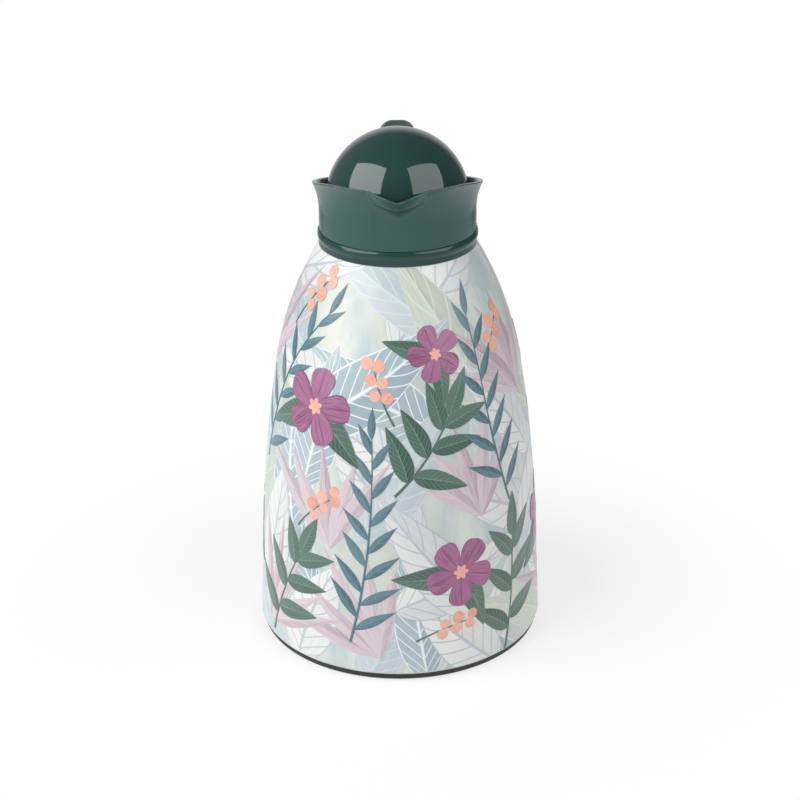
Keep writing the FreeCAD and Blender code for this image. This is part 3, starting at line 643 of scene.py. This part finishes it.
def touch(y, z, sense):
    """Where a line from a point touches the ear's round about the pin, as an angle from the back upwards."""
    lean = math.atan2(z - pin_z, y - pin_y)
    return lean + sense * math.acos(ear_radius / math.hypot(y - pin_y, z - pin_z))


def add_ear(shape, sign):
    """Plate that carries one end of the hinge pin, with softened edges."""
    first = touch(ear_root_y, ear_low_z, 1)
    last = touch(ear_root_y, flare_z, -1)
    last += math.tau * (last < first)
    turns = [first + (last - first) * step / ear_steps for step in range(ear_steps + 1)]
    corners = [(ear_root_y, ear_low_z)]
    corners += [(pin_y + ear_radius * math.cos(turn), pin_z + ear_radius * math.sin(turn)) for turn in turns]
    corners.append((ear_root_y, flare_z))
    plate = shape.faces.new([shape.verts.new((sign * ear_inner, y, z)) for y, z in corners])
    raised = bmesh.ops.extrude_face_region(shape, geom=[plate], use_keep_orig=True)["geom"]
    moved = [vert for vert in raised if isinstance(vert, bmesh.types.BMVert)]
    bmesh.ops.translate(shape, verts=moved, vec=(sign * ear_thickness, 0, 0))
    outer = [face for face in raised if isinstance(face, bmesh.types.BMFace)]
    edges = {edge for face in outer + [plate] for edge in face.edges}
    bmesh.ops.bevel(shape, geom=list(edges), offset=ear_edge_round, affect="EDGES", segments=3, profile=0.5,
                    material=-1)


# Closing spring

def coil_point(share):
    """Point and direction at a share of the coil."""
    turn = math.radians(coil_first_deg + (coil_last_deg - coil_first_deg) * share)
    sweep = math.radians(coil_last_deg - coil_first_deg)
    place = Vector((coil_length * (share - 0.5), pin_y + coil_radius * math.cos(turn),
                    pin_z + coil_radius * math.sin(turn)))
    way = Vector((coil_length / sweep, -coil_radius * math.sin(turn), coil_radius * math.cos(turn)))
    return place, way.normalized()


def wound_spring():
    """Round wire along the rest leg, the coil and the push leg."""
    points = [coil_point(step / coil_steps) for step in range(coil_steps + 1)]
    (first, leaving), (last, arriving) = points[0], points[-1]
    points = [(first - leaving * rest_leg, leaving)] + points + [(last + arriving * push_leg, arriving)]
    shape = bmesh.new()
    bmesh.ops.create_grid(shape, x_segments=wire_sides, y_segments=len(points) - 1, size=0.5)
    for vert in shape.verts:
        place, way = points[round((vert.co.y + 0.5) * (len(points) - 1))]
        turn = math.tau * (vert.co.x + 0.5)
        out = (Vector((1, 0, 0)) - way * way.x).normalized()
        vert.co = place + (out * math.cos(turn) + way.cross(out) * math.sin(turn)) * spring_wire / 2
    bmesh.ops.remove_doubles(shape, verts=shape.verts, dist=weld)
    bmesh.ops.holes_fill(shape, edges=[edge for edge in shape.edges if edge.is_boundary], sides=0)
    bmesh.ops.recalc_face_normals(shape, faces=shape.faces)
    soften(shape, wall_crease_deg)
    return shape


# Print finishes

def make_leaf_paint():
    """Painted leaf: two tones either side of a midrib, slanting veins and brushed streaks."""
    group, given, out = shader_group(
        "leaf_paint",
        [("Light", "Color", (0.7, 0.8, 0.8, 1)), ("Dark", "Color", (0.5, 0.6, 0.6, 1)),
         ("Vein", "Color", (1, 1, 1, 1)), ("Vein Count", "Float", 9.0), ("Vein Strength", "Float", 0.5),
         ("Streaks", "Float", 0.4), ("Halves", "Float", 0.45)],
        [("Colour", "Color")])
    across, along, tone = add(group, "SeparateXYZ", add(group, "Attribute", attribute_name="motif")["Vector"])
    centre = calc(group, "SUBTRACT", across, 0.5)
    off = calc(group, "ABSOLUTE", centre)
    half = spread(group, centre, low=-0.05, high=0.05)
    brush_scales = ((across, 16.0), (along, 2.0), (tone, 37.0))
    scaled = [calc(group, "MULTIPLY", part, scale) for part, scale in brush_scales]
    brush = add(group, "CombineXYZ", *scaled)[0]
    streak = spread(group, noise(group, brush, scale=1.0, detail=3.0, rough=0.6), low=0.35, high=0.68)
    share = calc(group, "ADD", calc(group, "MULTIPLY", half, given["Halves"]),
                 calc(group, "MULTIPLY", calc(group, "SUBTRACT", streak, 0.5), given["Streaks"]))
    share = calc(group, "ADD", share, calc(group, "MULTIPLY", calc(group, "SUBTRACT", tone, 0.4), 0.6))
    body = blend_colour(group, add(group, "Clamp", share)[0], given["Light"], given["Dark"])
    slant = calc(group, "SUBTRACT", along, calc(group, "MULTIPLY", off, 0.4))
    wave = calc(group, "FRACT", calc(group, "MULTIPLY", slant, given["Vein Count"]))
    vein = spread(group, calc(group, "ABSOLUTE", calc(group, "SUBTRACT", wave, 0.5)), low=0.09, high=0.03)
    rib = spread(group, off, low=0.04, high=0.018)
    edge = spread(group, off, low=0.465, high=0.485)
    lines = calc(group, "MULTIPLY", calc(group, "MAXIMUM", calc(group, "MAXIMUM", vein, rib), edge),
                 given["Vein Strength"])
    plug(group, out["Colour"], blend_colour(group, lines, body, given["Vein"]))
    return group


leaf_paint = make_leaf_paint()


def ink(name, light, dark, vein, count=9.0, strength=0.5, streaks=0.4, halves=0.45):
    """Printed colour of one kind of motif."""
    material, tree, shader = new_material(name)
    paint = use_group(tree, leaf_paint, Light=linear(*light), Dark=linear(*dark), Vein=linear(*vein),
                      Vein_Count=count, Vein_Strength=strength, Streaks=streaks, Halves=halves)
    return printed(material, tree, shader, paint["Colour"])


def printed(material, tree, shader, colour):
    """Gives a printed colour the uneven gloss and fine peel of the shell."""
    effect = use_group(tree, moulded, Colour=colour, Drift=0.02, Gloss=print_gloss, Unevenness=0.12,
                       Peel_Scale=1300.0)
    return finish_from(material, tree, shader, effect, bump=0.03, reach=peel_depth)


def print_ground():
    """Pale ground of the print, washed with grey, blue and sage."""
    material, tree, shader = new_material("print_ground")
    place = add(tree, "TexCoord")["Object"]
    tilted = add(tree, "Mapping", place, None, (0.5, 0.3, 0.9), (60.0, 60.0, 14.0))[0]
    strokes = spread(tree, noise(tree, tilted, scale=1.0, detail=4.0, rough=0.6), low=0.42, high=0.62)
    clouds = spread(tree, noise(tree, place, scale=24.0, detail=3.0), low=0.4, high=0.6)
    wash = blend_colour(tree, strokes, linear(216, 221, 215), linear(184, 200, 204))
    wash = blend_colour(tree, calc(tree, "MULTIPLY", clouds, 0.6), wash, linear(193, 202, 189))
    return printed(material, tree, shader, wash)


# Inks: the light and dark tone and the veins as seen on a screen, the veins' count and strength, the streaks,
# and how much the halves of a leaf differ
INK_TONES = {
    "pale_blue": dict(light=(198, 209, 214), dark=(163, 182, 192), vein=(222, 228, 229)),
    "mist_grey": dict(light=(229, 230, 227), dark=(200, 205, 208), vein=(166, 181, 193), count=8.0,
                      strength=0.7),
    "pale_sage": dict(light=(207, 214, 201), dark=(171, 185, 169), vein=(224, 229, 220), count=7.0),
    "white_veined": dict(light=(176, 192, 199), dark=(150, 171, 182), vein=(236, 240, 239), count=11.0,
                         strength=0.95, streaks=0.3),
    "lilac": dict(light=(212, 197, 204), dark=(170, 150, 162), vein=(230, 222, 228), count=5.0, strength=0.3,
                  streaks=0.7),
    "teal": dict(light=(98, 130, 142), dark=(58, 90, 102), vein=(142, 168, 176), count=4.0, strength=0.35,
                 streaks=0.5),
    "deep_sage": dict(light=(88, 117, 104), dark=(52, 82, 73), vein=(140, 163, 151), count=10.0),
    "plum": dict(light=(166, 108, 145), dark=(104, 50, 84), vein=(92, 42, 74), count=0.0, streaks=1.1,
                 halves=0.0),
    "coral": dict(light=(238, 182, 162), dark=(208, 122, 106), vein=(248, 214, 200), count=0.0, strength=0.0,
                  streaks=0.9, halves=0.1),
}
INKS = {colour: ink("ink_" + colour, **tones) for colour, tones in INK_TONES.items()}


# Print motifs

def lance(share):
    return math.sin(math.pi * share ** 0.8) ** 1.15


def broad(share):
    return math.sin(math.pi * share ** 0.66) ** 0.85


def petal(share):
    return (1 - (1 - share) ** 2) ** 0.9 * (1 - share ** 7) ** 0.5


def bead(share):
    return math.sqrt(max(0.0, 1 - (2 * share - 1) ** 2))


def twig(share):
    return 1 - 0.6 * share


def on_print(height):
    """Nearest height within the print."""
    return min(max(height, film_low_z), film_high_z)


class Motif:
    """One leaf, petal, twig or berry, laid flat from its stalk end and turned away from straight up."""

    def __init__(self, colour, outline, angle, height, turn_deg, length, width, bend, tone):
        self.colour, self.outline, self.tone = colour, outline, tone
        self.angle, self.height, self.turn = angle, height, math.radians(turn_deg)
        self.length, self.width, self.bend = length, width, bend

    def place(self, side, share):
        """Angle and height of a point given from edge to edge and from stalk to tip."""
        within = min(max(share, film_tip), 1 - film_tip)
        out = side * self.outline(within) * self.width / 2 + self.bend * self.length * share ** 2
        along = share * self.length
        level = self.height + along * math.cos(self.turn) - out * math.sin(self.turn)
        right = out * math.cos(self.turn) + along * math.sin(self.turn)
        return self.angle + right / shell_radius(on_print(level)), level

    def way_deg(self, share):
        """Direction of the midrib at a share of the length."""
        return math.degrees(self.turn + math.atan(2 * self.bend * share))

    def spots(self):
        """Round spots along the midrib that cover the motif."""
        shares = [(step + 0.5) / spot_count for step in range(spot_count)]
        margin = self.length / (2 * spot_count)
        return [(*self.place(0, share), self.outline(share) * self.width / 2 + margin) for share in shares]

    def film(self, shape, key, depth):
        """Adds the motif to a bmesh as a closed film from under the shell's surface up to a depth of ink."""
        rows = max(film_least_rows, round(self.length / film_cell))
        columns = max(film_least_columns, 2 * round(self.width / film_cell / 2))
        grid = bmesh.ops.create_grid(shape, x_segments=columns, y_segments=rows, size=0.5)["verts"]
        for vert in grid:
            across, share = vert.co.x + 0.5, vert.co.y + 0.5
            vert[key] = (across, share, self.tone)
            vert.co = (*self.place(2 * across - 1, share), -film_sink)
        faces = {face for vert in grid for face in vert.link_faces}
        raised = bmesh.ops.extrude_face_region(shape, geom=list(faces), use_keep_orig=True)["geom"]
        for vert in raised:
            if isinstance(vert, bmesh.types.BMVert):
                vert.co.z = depth


def overlap(one, other):
    """Whether two sets of spots touch on the shell."""
    for angle, height, size in one:
        reach = shell_radius(on_print(height))
        for other_angle, other_height, other_size in other:
            across = math.remainder(angle - other_angle, math.tau) * reach
            if math.hypot(across, height - other_height) < size + other_size:
                return True
    return False


class Print:
    """Motifs in ranks, each motif on the lowest layer of ink that keeps it clear of those it overlaps."""

    def __init__(self):
        self.laid = []
        self.draw = random.Random(print_seed)

    def lay(self, rank, motif):
        spots = motif.spots()
        met = [(layer, its_rank) for _, layer, its_rank, its_spots in self.laid if overlap(spots, its_spots)]
        layer = 1 + max([its_layer for its_layer, its_rank in met if its_rank < rank], default=0)
        taken = {its_layer for its_layer, its_rank in met if its_rank == rank}
        while layer in taken:
            layer += 1
        self.laid.append((motif, layer, rank, spots))

    def pieces(self):
        """One piece for each colour of ink."""
        for colour, finish in INKS.items():
            shape = bmesh.new()
            key = shape.verts.layers.float_vector.new("motif")
            for motif, layer, _, _ in self.laid:
                if motif.colour == colour:
                    motif.film(shape, key, layer * film_step)
            trim(shape)
            wrap(shape)
            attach(piece_from("print_" + colour, shape, finish, "printed_shell"), "jug")


def trim(shape):
    """Cuts flat films off at the ends of the shell and closes them there."""
    for level, way in ((film_low_z, -1), (film_high_z, 1)):
        cut = bmesh.ops.bisect_plane(shape, geom=shape.verts[:] + shape.edges[:] + shape.faces[:],
                                     plane_co=(0, level, 0), plane_no=(0, way, 0), clear_outer=True)
        edges = [edge for edge in cut["geom_cut"] if isinstance(edge, bmesh.types.BMEdge)]
        bmesh.ops.holes_fill(shape, edges=edges, sides=0)
    bmesh.ops.recalc_face_normals(shape, faces=shape.faces)


def wrap(shape):
    """Rolls flat films, given as angle, height and depth of ink, round the shell."""
    soften(shape, round_crease_deg)
    for vert in shape.verts:
        angle, height, depth = vert.co
        radius = shell_radius(height) - skin_inset + depth
        vert.co = (radius * math.sin(angle), -radius * math.cos(angle), height)


# Layout of the print, with angles counted from the lip towards +X, in degrees, and sizes in millimetres.
# A motif lies over those of a lower rank.

FOLIAGE, BLADES, TWIGS, STALKS, HEADS, EYES = range(1, 7)
FOLIAGE_COLOURS = ("pale_blue", "pale_blue", "mist_grey", "mist_grey", "pale_sage", "white_veined")


def lay_foliage(pattern):
    """Broad pale leaves all over, in rows that are shifted and turned at random."""
    draw = pattern.draw
    for row in range(foliage_rows):
        height = (foliage_first_mm + foliage_pitch_mm * row) * MM
        count = round(math.tau * shell_radius(on_print(height)) / foliage_spacing)
        for column in range(count):
            angle = math.tau * (column + row % 2 / 2 + draw.uniform(-0.3, 0.3)) / count
            colour = draw.choice(FOLIAGE_COLOURS)
            turn = draw.choice((-1, 1)) * draw.uniform(8, 72)
            pattern.lay(FOLIAGE, Motif(
                colour, broad, angle, height + draw.uniform(-8, 8) * MM, turn,
                length=draw.uniform(58, 92) * MM, width=draw.uniform(22, 34) * MM,
                bend=draw.uniform(-0.18, 0.18), tone=draw.random()))


def lay_blades(pattern):
    """Sprays of slender lilac blades that fan out of one foot."""
    draw = pattern.draw
    for number in range(blade_sprays):
        angle = math.tau * (number + draw.uniform(-0.3, 0.3)) / blade_sprays
        height = (12 + 62 * (number % 3) + draw.uniform(-8, 8)) * MM
        lean = draw.uniform(-35, 35)
        for blade in range(-2, 3):
            pattern.lay(BLADES, Motif(
                "lilac", lance, angle, height, lean + 17 * blade + draw.uniform(-4, 4),
                length=draw.uniform(44, 66) * MM, width=draw.uniform(7, 10) * MM, bend=0.05 * blade,
                tone=draw.random()))


def lay_branch(pattern, angle_deg, height, turn_deg, length, bend):
    """Willow twig with slender leaves on alternate sides."""
    draw = pattern.draw
    stem = Motif("teal", twig, math.radians(angle_deg), height * MM, turn_deg, length * MM, width=1.3 * MM,
                 bend=bend, tone=0.9)
    pattern.lay(TWIGS, stem)
    count = round(length / 7)
    for number in range(count):
        share = (number + 1) / count
        side = 1 - 2 * (number % 2)
        sway = side * (52 - 30 * share) if number < count - 1 else 0
        angle, level = stem.place(0, share)
        pattern.lay(TWIGS, Motif(
            "teal", lance, angle, level, stem.way_deg(share) + sway + draw.uniform(-6, 6),
            length=(25 - 9 * share) * MM, width=(5.6 - 1.6 * share) * MM, bend=0.08 * side,
            tone=draw.random()))


def lay_bloom(pattern, angle_deg, height, turn_deg, size):
    """Five-petalled blossom with a coral eye, and two deep leaves behind it."""
    draw = pattern.draw
    angle, level = math.radians(angle_deg), height * MM
    for sway in (-62, 48):
        pattern.lay(STALKS, Motif("deep_sage", broad, angle, level, turn_deg + 180 + sway,
                                  length=size * 1.9 * MM, width=size * 0.72 * MM, bend=0.12,
                                  tone=draw.random()))
    for number in range(5):
        turn = turn_deg + 72 * number
        pattern.lay(HEADS, Motif("plum", petal, angle, level, turn, length=size * MM, width=size * 0.82 * MM,
                                 bend=0.06, tone=draw.random()))
    for number in range(6):
        turn = 60 * number + turn_deg
        pattern.lay(EYES, Motif("coral", bead, angle, level, turn, length=0.22 * size * MM,
                                width=0.13 * size * MM, bend=0, tone=0.5))


def lay_berries(pattern, angle_deg, height, turn_deg):
    """Small twig with coral berries."""
    draw = pattern.draw
    stem = Motif("deep_sage", twig, math.radians(angle_deg), height * MM, turn_deg, length=30 * MM,
                 width=1.0 * MM, bend=0.2, tone=0.6)
    pattern.lay(STALKS, stem)
    for number in range(6):
        share = 0.4 + 0.12 * number
        angle, level = stem.place(0, share)
        size = draw.uniform(5.0, 6.6) * MM
        pattern.lay(HEADS, Motif("coral", bead, angle, level, turn_deg + (1 - 2 * (number % 2)) * 70,
                                 length=size, width=size, bend=0, tone=draw.random()))


def lay_sprig(pattern, angle_deg, height, turn_deg, length, bend):
    """Laurel twig: pairs of broad deep leaves and one at the tip."""
    draw = pattern.draw
    stem = Motif("deep_sage", twig, math.radians(angle_deg), height * MM, turn_deg, length * MM,
                 width=1.5 * MM, bend=bend, tone=0.9)
    pattern.lay(TWIGS, stem)
    for share, sway in ((0.2, -58), (0.28, 56), (0.52, -50), (0.6, 48), (0.82, -36), (0.86, 38), (0.97, 0)):
        angle, level = stem.place(0, share)
        pattern.lay(TWIGS, Motif(
            "deep_sage", broad, angle, level, stem.way_deg(share) + sway + draw.uniform(-5, 5),
            length=(30 - 7 * share) * MM, width=(10.5 - 2 * share) * MM, bend=sway / 400, tone=draw.random()))


# Sprigs and branches: angle, height, turn, length and bend. Blooms: angle, height, turn and size of a petal.
# Berries: angle, height and turn.
SPRIGS = ((-62, 8, 16, 58, 0.12), (46, 4, 16, 62, -0.15), (100, 92, 14, 60, 0.1), (152, 58, -20, 58, 0.15),
          (-118, 114, 10, 60, -0.1), (-166, 100, 30, 56, 0.12), (-2, 98, 46, 46, -0.2))
BRANCHES = ((-20, 20, 14, 104, -0.16), (52, 84, -18, 92, 0.2), (118, 18, 20, 110, -0.18),
            (176, 96, -24, 84, 0.16), (-122, 22, 26, 100, -0.2), (-76, 96, 10, 86, 0.18))
BLOOMS = ((-40, 136, 10, 19), (25, 56, 34, 18), (86, 62, 0, 19), (140, 132, 20, 17), (-160, 60, 46, 19),
          (-98, 58, 8, 17), (18, 164, 50, 13))
BERRIES = ((-2, 132, -30), (44, 150, 24), (-46, 74, 36), (-66, 168, 20), (102, 128, -26), (158, 30, 18),
           (-136, 150, -20), (6, 22, 64))


def lay_print():
    """Whole print, laid from the broad leaves at the back to the berries."""
    pattern = Print()
    lay_foliage(pattern)
    lay_blades(pattern)
    for sprig in SPRIGS:
        lay_sprig(pattern, *sprig)
    for branch in BRANCHES:
        lay_branch(pattern, *branch)
    for bloom in BLOOMS:
        lay_bloom(pattern, *bloom)
    for berries in BERRIES:
        lay_berries(pattern, *berries)
    pattern.pieces()


# Floor, light and camera

def studio_floor():
    shape = bmesh.new()
    bmesh.ops.create_circle(shape, cap_ends=True, segments=floor_sides, radius=floor_radius,
                            matrix=Matrix.Translation((0, floor_y, 0)))
    floor = placed("studio_floor", mesh_from("studio_floor", shape, floor_white()))


def floor_white():
    """White floor that keeps a soft shadow and shows as the white background."""
    material = bpy.data.materials.new("floor_white")
    material.use_nodes = True
    tree = material.node_tree
    tree.nodes.clear()
    path = add(tree, "LightPath")
    mirrored = calc(tree, "MAXIMUM", path["Is Glossy Ray"], path["Is Transmission Ray"])
    distance = add(tree, "VectorMath", add(tree, "TexCoord")["Object"], operation="LENGTH")["Value"]
    fade = spread(tree, distance, *shadow_reach, *shadow_glow)
    table = spread(tree, distance, *mirrored_reach, *mirrored_glow)
    seen = calc(tree, "MAXIMUM", calc(tree, "MULTIPLY", path["Is Camera Ray"], fade),
                calc(tree, "MULTIPLY", mirrored, table))
    paint = blend_colour(tree, path["Is Camera Ray"], floor_bounce, floor_paint)
    lit = add(tree, "BsdfDiffuse", paint)[0]
    glow = add(tree, "Emission", (1, 1, 1, 1), 1.0)[0]
    mixed = add(tree, "MixShader", seen, lit, glow)[0]
    add(tree, "OutputMaterial", mixed)
    return material


def studio_world():
    """White wall behind the jug in a dim room that is lighter on the left; the camera sees plain white."""
    world = bpy.data.worlds.new("studio")
    world.use_nodes = True
    bpy.context.scene.world = world
    tree = world.node_tree
    tree.nodes.clear()
    side, back, up = add(tree, "SeparateXYZ", add(tree, "TexCoord")["Generated"])
    wall = calc(tree, "MULTIPLY", spread(tree, back, *wall_edge, *wall_glow), spread(tree, up, *wall_top))
    backdrop = calc(tree, "ADD", wall, spread(tree, side, *room_sides, *room_glow))
    strength = calc(tree, "MAXIMUM", backdrop, add(tree, "LightPath")["Is Camera Ray"])
    add(tree, "OutputWorld", add(tree, "Background", (1, 1, 1, 1), strength)[0])


def softbox(name, azimuth_deg, elevation_deg, width, radiance):
    """Large panel lamp that faces the jug."""
    azimuth, elevation = math.radians(azimuth_deg), math.radians(elevation_deg)
    away = Vector((math.sin(azimuth) * math.cos(elevation), -math.cos(azimuth) * math.cos(elevation),
                   math.sin(elevation)))
    lamp = bpy.data.lights.new(name, "AREA")
    lamp.shape = "RECTANGLE"
    lamp.size = width
    lamp.size_y = panel_height
    lamp.energy = radiance * width * panel_height * math.pi
    centre = away * panel_distance + Vector((0, 0, panel_aim_z))
    facing = away.to_track_quat("Z", "Y").to_matrix().to_4x4()
    roll = Matrix.Rotation(math.copysign(math.radians(panel_roll_deg), -azimuth), 4, "Z")
    placed(name, lamp).matrix_world = Matrix.Translation(centre) @ facing @ roll


def photo_camera():
    data = bpy.data.cameras.new("photo_camera")
    data.lens = camera_lens
    data.sensor_width = camera_sensor
    data.shift_x = camera_shift
    camera = placed("photo_camera", data)
    camera.matrix_world = (Matrix.Translation(camera_place)
                           @ Matrix.Rotation(math.radians(90 - camera_pitch_deg), 4, "X")
                           @ Matrix.Rotation(math.radians(camera_roll_deg), 4, "Z"))
    bpy.context.scene.camera = camera


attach(piece_from("shell_skin", shell_skin(), print_ground(), "printed_shell", "body_shell"), "jug")
lay_print()
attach(piece_from("collar", pour_collar(), green_satin, "green_satin", "pour_collar"), "jug")
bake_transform(piece_from("spring", wound_spring(), bright_steel, "steel", "hinge_spring"))

studio_floor()
studio_world()
softbox("left_panel", azimuth_deg=-63, elevation_deg=29, width=2.35, radiance=3.25)
softbox("right_panel", azimuth_deg=59, elevation_deg=30, width=2.25, radiance=1.95)
photo_camera()
bpy.context.scene.view_settings.view_transform = "Standard"

bpy.context.view_layer.update()
